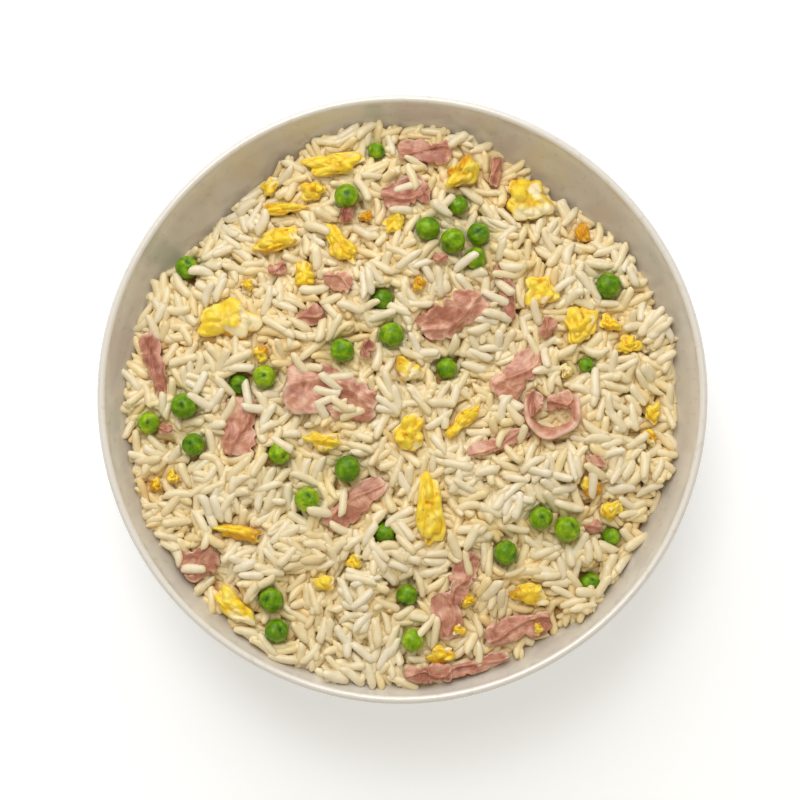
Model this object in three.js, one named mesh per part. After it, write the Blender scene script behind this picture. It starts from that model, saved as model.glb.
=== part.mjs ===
// A shallow round bowl of fried rice with green peas, scrambled egg and ham.
// Millimetres, +Z up. The origin is the middle of the foot ring, at table height.

import * as THREE from 'three';
import { ConvexHull } from 'three/addons/math/ConvexHull.js';
import { mergeVertices } from 'three/addons/utils/BufferGeometryUtils.js';

// Bowl
const rimRadius = 100;
const bowlHeight = 46;
const wallThickness = 2.8;
const floorTop = 6;        // inside of the floor, above the table
const wallPower = 3.6;     // the inside rises as the radius to this power
const footRadius = 43;
const footWidth = 5;
const footRecess = 2;
const turnSteps = 56;      // flat sides in a full turn
const wallRings = 7;       // steps from the middle of the floor to the rim
const rimSteps = 4;        // steps across the rounded rim

// Heap of rice
const gap = 0.3;           // between touching pieces
const heapRadius = 90.6;   // where the bare heap meets the bowl on average
const crownHeight = 43.5;  // top of the bare heap, above the table
const domePower = 2.6;     // flat over the middle, steeper near the bowl
const grainLength = 8.6;
const grainWidth = 2.7;
const grainRise = 3.1;     // how far a grain on top stands above the bare heap
const grainMisses = 9000;  // tries in a row without room that end the scattering
const edgeRings = 5;       // rings of the heap's underside, below its edge

// Toppings
const toppingRest = 0.6;   // clear space between a topping and the bare heap
const margin = 0.6;        // width of the bare strip round a topping
const planSpacing = 4.4;   // between the heap's points under a topping
const hamThickness = 2;
const hamRest = 1;

const riceColour = '#e6d3a8';
const peaColour = '#5f9a14';
const eggColour = '#f2c83a';
const hamColour = '#c98672';
const glazeColour = '#ece6da';

// Stretches of the bowl's wall where the heap stops lower or climbs higher:
// direction in degrees, change in radius, and half width in degrees.
const edgeChanges = [
  { angle: 52, change: -5.2, width: 20 },
  { angle: 135, change: -5.8, width: 18 },
  { angle: 260, change: 4, width: 45 },
];

// Swells and hollows of the bare heap.
const swells = [
  { at: [9, 36], rise: 2.2, reach: 22 },
  { at: [64, -14], rise: 2, reach: 20 },
  { at: [24, -32], rise: 2.2, reach: 20 },
  { at: [-62, -30], rise: 1.6, reach: 18 },
  { at: [24, 6], rise: -2.4, reach: 14 },
  { at: [-60, 2], rise: -2, reach: 16 },
  { at: [-8, -30], rise: -1.6, reach: 12 },
];

const peas = [
  { at: [-18.2, 66.2], size: 8.2, sunk: 0.8 },
  { at: [-71.4, 43.4], size: 8, sunk: 1.4 },
  { at: [-19.5, 15.2], size: 7.8, sunk: 1 },
  { at: [-3.5, 20.2], size: 8.4, sunk: 1.8 },
  { at: [-45, 6.6], size: 7.8, sunk: 1.2 },
  { at: [-71.5, -2.8], size: 8.8, sunk: 1 },
  { at: [-83.2, -8.4], size: 7.6, sunk: 1.2 },
  { at: [-68.2, -15.6], size: 7.8, sunk: 1 },
  { at: [-40.1, -18.5], size: 7.6, sunk: 2.2 },
  { at: [-17.9, -23.6], size: 8.8, sunk: 1.2 },
  { at: [-31, -33.6], size: 8.2, sunk: 0.8 },
  { at: [-42.6, -66.2], size: 8.2, sunk: 1.8 },
  { at: [-40.8, -76.2], size: 7.8, sunk: 1 },
  { at: [3.4, -79.3], size: 7.8, sunk: 1.2 },
  { at: [45.2, -39.6], size: 7.8, sunk: 1 },
  { at: [53.8, -43.2], size: 8.6, sunk: 0.8 },
  { at: [33.8, -50.9], size: 8.4, sunk: 0.8 },
  { at: [8.4, 55.4], size: 8, sunk: 1.4 },
  { at: [16.6, 51.2], size: 8.2, sunk: 0.6 },
  { at: [25.1, 53.8], size: 7.6, sunk: 1.4 },
  { at: [23.8, 45.6], size: 7.6, sunk: 1.8 },
  { at: [68.1, 36.8], size: 8.8, sunk: 1 },
];

const eggs = [
  { at: [-23, 77.6], size: [24, 9.5, 5.5], turn: 5 },
  { at: [-39.6, 62.8], size: [17, 5, 4.5], turn: 2 },
  { at: [-41, 52.2], size: [18, 8.5, 5.5], turn: 15 },
  { at: [-20.4, 49.8], size: [18, 9, 5], turn: -55 },
  { at: [-32.2, 39.6], size: [12, 7.5, 5], turn: 95 },
  { at: [-57, 25.6], size: [24, 14.5, 6], turn: -5 },
  { at: [20.2, 74.2], size: [16, 10.5, 7.5], turn: 42 },
  { at: [42.3, 66], size: [19, 16, 7], turn: -30 },
  { at: [45.5, 34.5], size: [13.5, 12, 5], turn: 10 },
  { at: [58.5, 23.8], size: [14, 11.5, 5.5], turn: 70 },
  { at: [2.2, 8.8], size: [12, 8, 5.5], turn: -30 },
  { at: [2.4, -11.7], size: [14.5, 11, 6], turn: 78 },
  { at: [20, -8], size: [18, 5.8, 5], turn: 44 },
  { at: [-26, -14.4], size: [14, 7, 5], turn: -8 },
  { at: [9.3, -38.1], size: [27, 10.5, 5.5], turn: 92 },
  { at: [41.5, -64.6], size: [15, 8.5, 5], turn: -8 },
  { at: [-53.6, -44.2], size: [20, 6, 4.5], turn: -10 },
  { at: [-55, -68.2], size: [19, 8.5, 5], turn: -42 },
  { at: [12.5, -84.2], size: [11, 7, 4.5], turn: 8 },
];

// The widths are those of the first and the last end of the slice.
const hams = [
  { at: [-81.6, 11.4], length: 21, widths: [4, 8.5], turn: 106, wave: 1 },
  { at: [1, 67.4], length: 15, widths: [9, 11], turn: 20, wave: 1.2 },
  { at: [7.6, 81.8], length: 18, widths: [7, 8.5], turn: -5, wave: 1.2 },
  { at: [31.2, 75.2], length: 10, widths: [4, 4.5], turn: 80, wave: 0.8 },
  { at: [16.4, 26.8], length: 23, widths: [10, 12], turn: 30, wave: 1.6 },
  { at: [34, 34.5], length: 18, widths: [5, 4], turn: -77, wave: 1 },
  { at: [38, 7.4], length: 20, widths: [12, 7.5], turn: 49, wave: 1.4 },
  { at: [31.5, -15], length: 21, widths: [5, 4], turn: 20, wave: 1.4 },
  { at: [-23, 1], length: 30, widths: [19, 12], turn: -18, wave: 1.8 },
  { at: [-53.2, -9.6], length: 19, widths: [12, 10], turn: 85, wave: 1.4 },
  { at: [-66.4, -54], length: 12.5, widths: [11, 9], turn: 30, wave: 1.2 },
  { at: [-15.3, -35], length: 23, widths: [8, 7], turn: 40, wave: 2.2 },
  { at: [14.6, -71.4], length: 15.5, widths: [9, 11], turn: 100, wave: 1.4 },
  { at: [38, -75.6], length: 22, widths: [8.5, 7.5], turn: 15, wave: 1.6 },
  { at: [24.4, -87.4], length: 21, widths: [4.5, 4], turn: 17, wave: 0.8 },
  { at: [20.3, -56], length: 11.5, widths: [8.5, 7], turn: 62, wave: 1 },
];

// A rolled slice that stands on its edge in an open ring, with a start and an end in degrees.
const hamCurl = { at: [49, -5], radius: 7.2, height: 5.5, start: 150, end: 400, lean: 1.2 };

// Small scraps of egg and ham and peas nearly under the rice: place and size.
const scraps = [
  [-29.5, 68.6, 8], [-43.8, 70.6, 6.5], [-46.3, 14.4, 5.5], [-50.9, 37.4, 4], [-12, 59.6, 4.5],
  [-2.4, 57.4, 7.5], [60, 55.2, 6.5], [68.5, 24.6, 6.5], [74.6, 17.6, 7.5], [5.6, 37, 5],
  [53.8, 8.6, 4.5], [61.6, -29.4, 7.5], [68.4, -36.8, 7], [82.6, -5, 6], [81.4, -13, 5.5],
  [-25.4, -60.6, 6.5], [-15.6, -53.8, 5.5], [-81, -28.6, 4.5], [-75.4, -26, 4.5],
  [-41.2, 42.4, 5], [-21, 38, 7.5], [-77.4, -10.4, 4], [47.7, 22.6, 6], [62.4, -42.6, 4.5],
  [63.1, -21.4, 5], [-11.6, 15.4, 5], [-30.2, 26.4, 7.5], [12.6, 45.4, 4],
  [-6.4, 32, 7], [-53.4, 4.4, 7], [-5.6, -44.4, 7], [1.6, -64.6, 7], [61.6, -60.6, 6.5],
  [68.6, -45.8, 6], [18.4, 63.6, 6.5], [60.4, 10.6, 5], [14.6, 9.4, 7], [-8.5, 82, 4],
];

// Numbers from 0 to 1 in a fixed order, so that every build is alike.
function seededRandom(seed) {
  let state = seed;
  return () => {
    state = (state + 0x6d2b79f5) | 0;
    let mixed = Math.imul(state ^ (state >>> 15), 1 | state);
    mixed = (mixed + Math.imul(mixed ^ (mixed >>> 7), 61 | mixed)) ^ mixed;
    return ((mixed ^ (mixed >>> 14)) >>> 0) / 4294967296;
  };
}

// --- Bowl

const rimMiddle = bowlHeight - wallThickness / 2;
const innerRadius = rimRadius - wallThickness;

function wallHeight(radius) {
  return floorTop + (rimMiddle - floorTop) * (radius / innerRadius) ** wallPower;
}

// Outward and downward normal of the inside of the wall.
function wallNormal(radius) {
  const slope = (rimMiddle - floorTop) * wallPower / innerRadius * (radius / innerRadius) ** (wallPower - 1);
  return new THREE.Vector2(slope, -1).normalize();
}

// Radii from the middle of the floor to the rim, closer together where the wall is steep.
const wallRadii = Array.from({ length: wallRings + 1 }, (_, ring) => innerRadius * Math.sqrt(ring / wallRings));

// The inside of the bowl, moved away from the wall into the bowl by an offset.
function insideLine(offset) {
  return wallRadii.map((radius) => {
    const point = new THREE.Vector2(radius, wallHeight(radius));
    const shift = radius === 0 ? new THREE.Vector2(0, -1) : wallNormal(radius);
    return point.addScaledVector(shift, -offset);
  });
}

function makeBowl() {
  const profile = insideLine(0);
  for (let step = 1; step < rimSteps; step += 1) {
    const turn = Math.PI * (1 - step / rimSteps);
    const radius = wallThickness / 2;
    profile.push(new THREE.Vector2(
      rimRadius - radius + radius * Math.cos(turn),
      rimMiddle + radius * Math.sin(turn),
    ));
  }
  profile.push(new THREE.Vector2(rimRadius, rimMiddle));
  const footTop = footRecess * 2;
  for (const point of insideLine(-wallThickness).reverse()) {
    if (point.y < rimMiddle - wallThickness && point.y > footTop && point.x > footRadius + 2) profile.push(point);
  }
  profile.push(new THREE.Vector2(footRadius + 1, footTop));
  profile.push(new THREE.Vector2(footRadius, 0));
  profile.push(new THREE.Vector2(footRadius - footWidth, 0));
  profile.push(new THREE.Vector2(footRadius - footWidth - 1, footRecess));
  profile.push(new THREE.Vector2(0, footRecess));
  // LatheGeometry turns about Y; the profile runs from the inside over the rim to the foot.
  const geometry = new THREE.LatheGeometry(profile.reverse(), turnSteps);
  geometry.rotateX(Math.PI / 2);
  return solidGeometry(geometry);
}

// Merge a closed three.js surface into one shared set of vertices.
function solidGeometry(geometry) {
  geometry.deleteAttribute('normal');
  geometry.deleteAttribute('uv');
  return dropFlat(mergeVertices(geometry, 1e-4));
}

// Leave out the triangles that have shrunk to a line, as at the axis of a lathe.
function dropFlat(geometry) {
  const index = geometry.getIndex().array;
  const kept = [];
  for (let i = 0; i < index.length; i += 3) {
    const [a, b, c] = index.slice(i, i + 3);
    if (a !== b && b !== c && c !== a) kept.push(a, b, c);
  }
  geometry.setIndex(kept);
  return geometry;
}

// --- Bare heap

// Share of a bell-shaped change that is left at a distance from its middle.
function bell(distance, reach) {
  return Math.exp(-((distance / reach) ** 2));
}

// Radius at which the heap meets the bowl, in a direction in radians.
function edgeRadius(angle) {
  let radius = heapRadius;
  for (const { angle: middle, change, width } of edgeChanges) {
    const away = THREE.MathUtils.euclideanModulo(THREE.MathUtils.radToDeg(angle) - middle + 180, 360) - 180;
    radius += change * bell(away, width);
  }
  return radius;
}

// Top of the bare heap, on which the toppings and the upper grains lie.
function coreHeight(x, y) {
  const edge = edgeRadius(Math.atan2(y, x));
  const share = Math.min(1, Math.hypot(x, y) / edge);
  const edgeHeight = wallHeight(edge);
  const swell = swells.reduce((sum, { at, rise, reach }) => (
    sum + rise * bell(Math.hypot(x - at[0], y - at[1]), reach)
  ), 0);
  return edgeHeight + (crownHeight - edgeHeight) * (1 - share ** domePower) + swell * (1 - share ** 6);
}

// --- Toppings: each has its mesh, and the plan of the heap that it keeps bare.

// Turn a point about the vertical and move it to its place in the bowl.
function place(at, turn, x, y) {
  const angle = THREE.MathUtils.degToRad(turn);
  return [
    at[0] + x * Math.cos(angle) - y * Math.sin(angle),
    at[1] + x * Math.sin(angle) + y * Math.cos(angle),
  ];
}

function makeMesh(name, geometry, colour, roughness) {
  const material = new THREE.MeshStandardMaterial({ color: colour, roughness, metalness: 0 });
  const mesh = new THREE.Mesh(geometry, material);
  mesh.name = name;
  return mesh;
}

// Move a geometry's vertices so that its middle is its own origin, and give the middle to the mesh.
function centreMesh(mesh) {
  mesh.geometry.computeBoundingBox();
  const middle = mesh.geometry.boundingBox.getCenter(new THREE.Vector3());
  mesh.geometry.translate(-middle.x, -middle.y, -middle.z);
  mesh.position.copy(middle);
  return mesh;
}

function numbered(name, index) {
  return `${name}_${String(index + 1).padStart(2, '0')}`;
}

function makePea({ at, size, sunk }, index) {
  const radius = size / 2;
  const geometry = solidGeometry(new THREE.IcosahedronGeometry(radius, 1));
  const mesh = makeMesh(numbered('pea', index), geometry, peaColour, 0.35);
  mesh.rotation.set(index * 0.7, index * 1.3, 0);
  mesh.position.set(at[0], at[1], coreHeight(...at) - sunk + radius + toppingRest);
  const ringSteps = 7;
  const plan = [at];
  for (let step = 0; step < ringSteps; step += 1) {
    plan.push(place(at, 360 * step / ringSteps, radius * 0.9 + gap, 0));
  }
  return { mesh, plan, sunk, shape: { at, turn: 0, halfLength: radius, halfWidth: radius } };
}

// How far the outline of a lump of egg reaches out in a direction, as a share of its half size.
function lumpReach(angle, index) {
  return 0.9 + 0.11 * Math.sin(3 * angle + index * 1.9) + 0.07 * Math.sin(5 * angle + index * 2.7);
}

function makeEgg({ at, size, turn }, index) {
  const [length, width, height] = size;
  const geometry = solidGeometry(new THREE.IcosahedronGeometry(1, 1));
  const points = geometry.getAttribute('position');
  const belly = 0.35; // share of the height at which the lump is widest
  for (let i = 0; i < points.count; i += 1) {
    const side = Math.atan2(points.getY(i), points.getX(i));
    const reach = lumpReach(side, index);
    const up = points.getZ(i);
    const lift = up > 0 ? belly + (1 - belly) * up : belly * (1 + up);
    const knob = 0.12 * Math.sin(4 * side + index) * Math.max(0, up);
    const [x, y] = place(at, turn, points.getX(i) * reach * length / 2, points.getY(i) * reach * width / 2);
    points.setXYZ(i, x, y, coreHeight(x, y) + toppingRest + height * (lift + knob));
  }
  const ringSteps = Math.ceil(Math.PI * (length + width) / 2 / planSpacing);
  const plan = [at];
  for (let step = 0; step < ringSteps; step += 1) {
    const side = 2 * Math.PI * step / ringSteps;
    const reach = lumpReach(side, index);
    const x = (length / 2 * reach + margin) * Math.cos(side);
    const y = (width / 2 * reach + margin) * Math.sin(side);
    plan.push(place(at, turn, x, y));
  }
  const mesh = centreMesh(makeMesh(numbered('egg', index), geometry, eggColour, 0.55));
  return { mesh, plan, sunk: 0, shape: { at, turn, halfLength: length * 0.54, halfWidth: width * 0.54 } };
}

// Join a lower and an upper sheet of rows by columns of points into one thin closed slice.
function slabGeometry(rows, columns, lower, upper) {
  const positions = [...lower, ...upper].flat();
  const shift = lower.length;
  const index = [];
  const at = (row, column) => row * (columns + 1) + column;
  for (let row = 0; row < rows; row += 1) {
    for (let column = 0; column < columns; column += 1) {
      const a = at(row, column);
      const b = at(row + 1, column);
      const c = at(row + 1, column + 1);
      const d = at(row, column + 1);
      index.push(a, c, b, a, d, c);
      index.push(a + shift, b + shift, c + shift, a + shift, c + shift, d + shift);
    }
  }
  const border = [];
  for (let row = 0; row < rows; row += 1) border.push(at(row, 0));
  for (let column = 0; column < columns; column += 1) border.push(at(rows, column));
  for (let row = rows; row > 0; row -= 1) border.push(at(row, columns));
  for (let column = columns; column > 0; column -= 1) border.push(at(0, column));
  border.forEach((a, i) => {
    const b = border[(i + 1) % border.length];
    index.push(a, b, b + shift, a, b + shift, a + shift);
  });
  const geometry = new THREE.BufferGeometry();
  geometry.setAttribute('position', new THREE.Float32BufferAttribute(positions, 3));
  geometry.setIndex(index);
  return geometry;
}

// Half the width of a slice at a share of its length, with rounded ends and torn sides.
function sliceHalfWidth(widths, share, side, index) {
  const straight = THREE.MathUtils.lerp(widths[0], widths[1], share) / 2;
  const ends = 1 - 0.3 * Math.abs(2 * share - 1) ** 5;
  return straight * ends * (1 + 0.1 * Math.sin(9 * share + 2 * side + index * 1.7));
}

function makeHam({ at, length, widths, turn, wave }, index) {
  const rows = length > 17 ? 6 : 4;
  const columns = Math.max(...widths) > 9 ? 3 : 2;
  const lower = [];
  const upper = [];
  for (let row = 0; row <= rows; row += 1) {
    for (let column = 0; column <= columns; column += 1) {
      const along = row / rows;
      const across = 2 * column / columns - 1;
      const halfWidth = sliceHalfWidth(widths, along, Math.sign(across), index);
      const [x, y] = place(at, turn, (along - 0.5) * length, across * halfWidth);
      const ripple = wave * (0.5 + 0.5 * Math.sin(5.5 * along + 1.4 * across + index));
      const z = coreHeight(x, y) + hamRest + ripple;
      lower.push([x, y, z]);
      upper.push([x, y, z + hamThickness]);
    }
  }
  const geometry = slabGeometry(rows, columns, lower, upper);
  const plan = [];
  const planRows = Math.ceil(length / planSpacing);
  const planColumns = Math.ceil(Math.max(...widths) / planSpacing);
  for (let row = 0; row <= planRows; row += 1) {
    for (let column = 0; column <= planColumns; column += 1) {
      const along = row / planRows;
      const across = 2 * column / planColumns - 1;
      const halfWidth = sliceHalfWidth(widths, along, Math.sign(across), index) + margin;
      plan.push(place(at, turn, (along - 0.5) * (length + 2 * margin), across * halfWidth));
    }
  }
  const mesh = centreMesh(makeMesh(numbered('ham', index), geometry, hamColour, 0.5));
  const halfWidth = Math.max(...widths) / 2;
  return { mesh, plan, sunk: 0, shape: { at, turn, halfLength: length / 2, halfWidth, boxy: true } };
}

// The rolled slice: a strip on its edge, carried round an arc and leaning outward at the top.
function makeCurl({ at, radius, height, start, end, lean }) {
  const steps = 9;
  const inner = [];
  const outer = [];
  for (let step = 0; step <= steps; step += 1) {
    const angle = start + (end - start) * step / steps;
    for (const [up, out] of [[0, 0], [height, lean]]) {
      for (const [side, list] of [[-0.5, inner], [0.5, outer]]) {
        const [x, y] = place(at, angle, radius + out + side * hamThickness, 0);
        list.push([x, y, coreHeight(...at) + hamRest + up]);
      }
    }
  }
  const geometry = slabGeometry(steps, 1, inner, outer);
  const plan = [at];
  const ringSteps = 11;
  for (let step = 0; step < ringSteps; step += 1) {
    plan.push(place(at, 360 * step / ringSteps, radius + hamThickness / 2 + margin, 0));
  }
  const mesh = centreMesh(makeMesh(numbered('ham', hams.length), geometry, hamColour, 0.5));
  const half = radius + hamThickness / 2;
  return { mesh, plan, sunk: 0, shape: { at, turn: 0, halfLength: half, halfWidth: half } };
}

// --- Heap with its grains

// Distance from a point to the outline of a topping, a box or an ellipse; negative inside.
function distanceToShape({ at, turn, halfLength, halfWidth, boxy }, x, y) {
  const angle = THREE.MathUtils.degToRad(turn);
  const dx = x - at[0];
  const dy = y - at[1];
  const along = dx * Math.cos(angle) + dy * Math.sin(angle);
  const across = -dx * Math.sin(angle) + dy * Math.cos(angle);
  if (boxy) return Math.max(Math.abs(along) - halfLength, Math.abs(across) - halfWidth);
  const reach = Math.hypot(along / halfLength, across / halfWidth);
  return reach < 1e-6 ? -halfWidth : Math.hypot(along, across) * (1 - 1 / reach);
}

function distanceToSegment([x, y], { from, to }) {
  const dx = to[0] - from[0];
  const dy = to[1] - from[1];
  const share = THREE.MathUtils.clamp(((x - from[0]) * dx + (y - from[1]) * dy) / (dx * dx + dy * dy), 0, 1);
  return Math.hypot(x - from[0] - share * dx, y - from[1] - share * dy);
}

// Scatter the grains that lie on top: each is a short line with room round it.
function scatterGrains(shapes, random) {
  const grains = [];
  let misses = 0;
  while (misses < grainMisses) {
    const spot = 2 * Math.PI * random();
    const radius = (edgeRadius(spot) - 2) * Math.sqrt(random());
    const middle = [radius * Math.cos(spot), radius * Math.sin(spot)];
    const turn = 180 * random();
    const half = (grainLength * (0.85 + 0.3 * random()) - grainWidth) / 2;
    const grain = { middle, from: place(middle, turn, -half, 0), to: place(middle, turn, half, 0) };
    const ends = [grain.from, middle, grain.to];
    const clear = ends.every(([x, y]) => (
      Math.hypot(x, y) < edgeRadius(Math.atan2(y, x)) - 2
      && shapes.every((shape) => distanceToShape(shape, x, y) > margin + 1.4)
    ));
    const apart = clear && grains.every((other) => (
      Math.hypot(middle[0] - other.middle[0], middle[1] - other.middle[1]) > grainLength * 1.2
      || (ends.every((point) => distanceToSegment(point, other) > grainWidth)
        && [other.from, other.middle, other.to].every((point) => distanceToSegment(point, grain) > grainWidth))
    ));
    if (apart) grains.push(grain);
    misses = apart ? 0 : misses + 1;
  }
  return grains;
}

// A point at a rise above the bare heap, kept inside the heap's edge and clear of the bowl.
function topPoint(x, y, rise) {
  const inward = Math.min(1, (edgeRadius(Math.atan2(y, x)) - margin) / Math.hypot(x, y));
  const point = new THREE.Vector3(x * inward, y * inward, 0);
  const lowest = wallHeight(Math.hypot(point.x, point.y)) + 1;
  point.z = Math.max(lowest, coreHeight(point.x, point.y) + rise);
  return point;
}

function makeHeap(toppings) {
  const random = seededRandom(7);
  const points = [];
  const addPoint = (x, y, rise) => points.push(topPoint(x, y, rise));
  const rim = [];
  for (let step = 0; step < turnSteps; step += 1) rim.push(edgePoint(2 * Math.PI * step / turnSteps));
  points.push(...rim);
  for (const { plan, sunk } of toppings) {
    for (const [x, y] of plan) addPoint(x, y, -sunk);
  }
  const shapes = toppings.map(({ shape }) => shape);
  const scrapSteps = 6;
  for (const [x, y, size] of scraps) {
    addPoint(x, y, grainRise + 0.8);
    for (let step = 0; step < scrapSteps; step += 1) {
      addPoint(...place([x, y], 360 * step / scrapSteps, size * 0.42, 0), grainRise * 0.7);
    }
    shapes.push({ at: [x, y], turn: 0, halfLength: size / 2, halfWidth: size / 2 });
  }
  const grains = scatterGrains(shapes, random);
  for (const { from, middle, to } of grains) {
    const rise = grainRise * (0.75 + 0.4 * random());
    addPoint(...from, rise - 0.5 * random());
    addPoint(...middle, rise);
    addPoint(...to, rise - 0.5 * random());
  }
  addValleys(points, grains, shapes, random);
  return heapGeometry(points, rim);
}

// Low points between the grains.
function addValleys(points, grains, shapes, random) {
  const apart = 2.5;
  const tries = 16000;
  for (let i = 0; i < tries; i += 1) {
    const spot = 2 * Math.PI * random();
    const radius = (edgeRadius(spot) - 1.5) * Math.sqrt(random());
    const x = radius * Math.cos(spot);
    const y = radius * Math.sin(spot);
    const free = shapes.every((shape) => distanceToShape(shape, x, y) > margin + 0.9)
      && grains.every((grain) => distanceToSegment([x, y], grain) > grainWidth * 0.62)
      && points.every((point) => Math.hypot(point.x - x, point.y - y) > apart * 0.7);
    if (free) points.push(topPoint(x, y, 0.9 * random()));
  }
}

// The line of the heap's underside in a direction, on the bowl's own corners and flats.
function edgePoint(angle) {
  const line = insideLine(gap);
  const radius = edgeRadius(angle);
  const upper = line.findIndex((point) => point.x > radius);
  const share = (radius - line[upper - 1].x) / (line[upper].x - line[upper - 1].x);
  const z = THREE.MathUtils.lerp(line[upper - 1].y, line[upper].y, share);
  return new THREE.Vector3(radius * Math.cos(angle), radius * Math.sin(angle), z);
}

// Triangles of the top, by lifting its plan to a paraboloid whose hull gives the Delaunay net.
// The plan is first stretched so that the heap's edge is a true circle.
function topTriangles(points) {
  const lifted = new Map();
  points.forEach((point, i) => {
    const edge = edgeRadius(Math.atan2(point.y, point.x));
    const x = point.x / edge;
    const y = point.y / edge;
    lifted.set(new THREE.Vector3(x, y, x * x + y * y), i);
  });
  const hull = new ConvexHull().setFromPoints([...lifted.keys()]);
  const triangles = [];
  for (const face of hull.faces) {
    if (face.normal.z > -1e-6) continue;
    const corners = [];
    let edge = face.edge;
    do {
      corners.push(lifted.get(edge.head().point));
      edge = edge.next;
    } while (edge !== face.edge);
    triangles.push([corners[0], corners[2], corners[1]]);
  }
  return triangles;
}

function heapGeometry(points, rim) {
  const index = topTriangles(points).flat();
  const rings = [rim.map((_, step) => step)];
  const line = insideLine(gap);
  for (let ring = edgeRings; ring > 0; ring -= 1) {
    rings.push(rim.map((_, step) => {
      const angle = 2 * Math.PI * step / turnSteps;
      points.push(new THREE.Vector3(
        line[ring].x * Math.cos(angle),
        line[ring].x * Math.sin(angle),
        line[ring].y,
      ));
      return points.length - 1;
    }));
  }
  points.push(new THREE.Vector3(0, 0, line[0].y));
  const bottom = points.length - 1;
  for (let step = 0; step < turnSteps; step += 1) {
    const next = (step + 1) % turnSteps;
    for (let ring = 0; ring < edgeRings; ring += 1) {
      const [a, b] = [rings[ring][step], rings[ring][next]];
      const [c, d] = [rings[ring + 1][next], rings[ring + 1][step]];
      index.push(a, c, b, a, d, c);
    }
    index.push(rings[edgeRings][step], bottom, rings[edgeRings][next]);
  }
  const geometry = new THREE.BufferGeometry().setFromPoints(points);
  geometry.setIndex(index);
  return geometry;
}

// --- Assembly

const toppings = [
  ...peas.map(makePea),
  ...eggs.map(makeEgg),
  ...hams.map(makeHam),
  makeCurl(hamCurl),
];

const group = new THREE.Group();
group.add(makeMesh('bowl', makeBowl(), glazeColour, 0.18));
group.add(makeMesh('rice_heap', makeHeap(toppings), riceColour, 0.45));
for (const { mesh } of toppings) group.add(mesh);

export default group;
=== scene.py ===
import bpy
import numpy as np
from math import cos, pi, radians, sin
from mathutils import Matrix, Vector


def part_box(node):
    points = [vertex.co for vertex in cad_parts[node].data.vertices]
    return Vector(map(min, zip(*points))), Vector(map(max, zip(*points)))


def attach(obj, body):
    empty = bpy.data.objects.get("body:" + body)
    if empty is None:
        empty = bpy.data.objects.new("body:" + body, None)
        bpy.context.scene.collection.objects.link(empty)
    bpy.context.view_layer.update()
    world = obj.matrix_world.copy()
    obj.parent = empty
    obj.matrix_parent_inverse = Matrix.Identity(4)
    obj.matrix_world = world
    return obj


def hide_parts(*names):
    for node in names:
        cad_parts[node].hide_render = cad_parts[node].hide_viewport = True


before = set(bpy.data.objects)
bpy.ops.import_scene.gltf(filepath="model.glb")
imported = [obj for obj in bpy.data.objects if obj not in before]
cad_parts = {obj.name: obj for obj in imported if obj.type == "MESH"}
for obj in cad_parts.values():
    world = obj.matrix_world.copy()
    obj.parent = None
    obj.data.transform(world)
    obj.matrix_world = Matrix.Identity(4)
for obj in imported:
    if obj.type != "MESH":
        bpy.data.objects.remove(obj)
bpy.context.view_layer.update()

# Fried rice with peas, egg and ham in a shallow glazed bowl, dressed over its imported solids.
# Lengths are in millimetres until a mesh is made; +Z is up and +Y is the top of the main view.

scene = bpy.context.scene
mm = 0.001

bowl = {
    "rimRadius": 100.0,
    "height": 46.0,
    "thickness": 2.8,
    "floorTop": 6.0,  # inside of the floor, above the table
    "wallPower": 3.6,  # the inside rises as the radius to this power
    "footRadius": 43.0,
    "footWidth": 5.0,
    "footRecess": 2.0,
    "waves": [(3, 0.12, 1.0), (7, 0.08, 0.0)],  # number, size and start
    "wavesFrom": 20.0,  # the height at which they begin
    "sides": 224,
    "rings": 46,  # of the inside
    "rimRings": 11,
    # painted shade: the inside of the bowl is darker than the rim
    "paintedShadeInsideColours": [(0.55, 0.50, 0.44), (0.62, 0.575, 0.51)],
    "paintedRimLightColour": (0.84, 0.82, 0.79),  # painted light on the rim, paler than the painted shade inside
    "paintedRimLightReach": 6.0,  # how far under the rim the painted light starts
    "paintedOutsideRimLight": 0.4,  # share of the painted rim light down the outside, where the rim's top is 1
}
rimMiddle = bowl["height"] - bowl["thickness"] / 2
innerRadius = bowl["rimRadius"] - bowl["thickness"]

heap = {
    "radius": 90.6,  # where the heap meets the bowl
    "crown": 43.5,
    "power": 2.6,  # how flat its top is
    "rest": 0.3,  # clear of the bowl
    # direction in degrees, change of radius, half width in degrees
    "edgeChanges": [(52, -5.2, 20), (135, -5.8, 18), (260, 4.0, 45)],
    # place, rise, breadth
    "swells": [
        (9, 36, 2.2, 22), (64, -14, 2.0, 20), (24, -32, 2.2, 20), (-62, -30, 1.6, 18),
        (24, 6, -2.4, 14), (-60, 2, -2.0, 16), (-8, -30, -1.6, 12),
    ],
}

# large odd factors that scramble a corner of the noise's lattice
scramble = {
    "corner": (374761393, 668265263, 1442695041),
    "seed": 974711,
    "shiftAndFactor": [(15, 2246822519), (13, 3266489917)],
    "lastShift": 16,
    "range": 2 ** 32,
}


# Shapes that several pieces share.

def wallHeight(radius):
    # floor + (rim middle - floor) x (radius / inner radius) to the wall power
    rise = rimMiddle - bowl["floorTop"]
    return bowl["floorTop"] + rise * (radius / innerRadius) ** bowl["wallPower"]


def bell(away, breadth):
    # e to the minus (away / breadth) squared
    return np.exp(-(away / breadth) ** 2)


def edgeRadius(angle):
    # heap radius plus bell-shaped changes round the bowl
    radius = np.full(np.shape(angle), heap["radius"])
    for middle, change, width in heap["edgeChanges"]:
        away = (np.degrees(angle) - middle + 180) % 360 - 180
        radius = radius + change * bell(away, width)
    return radius


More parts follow.
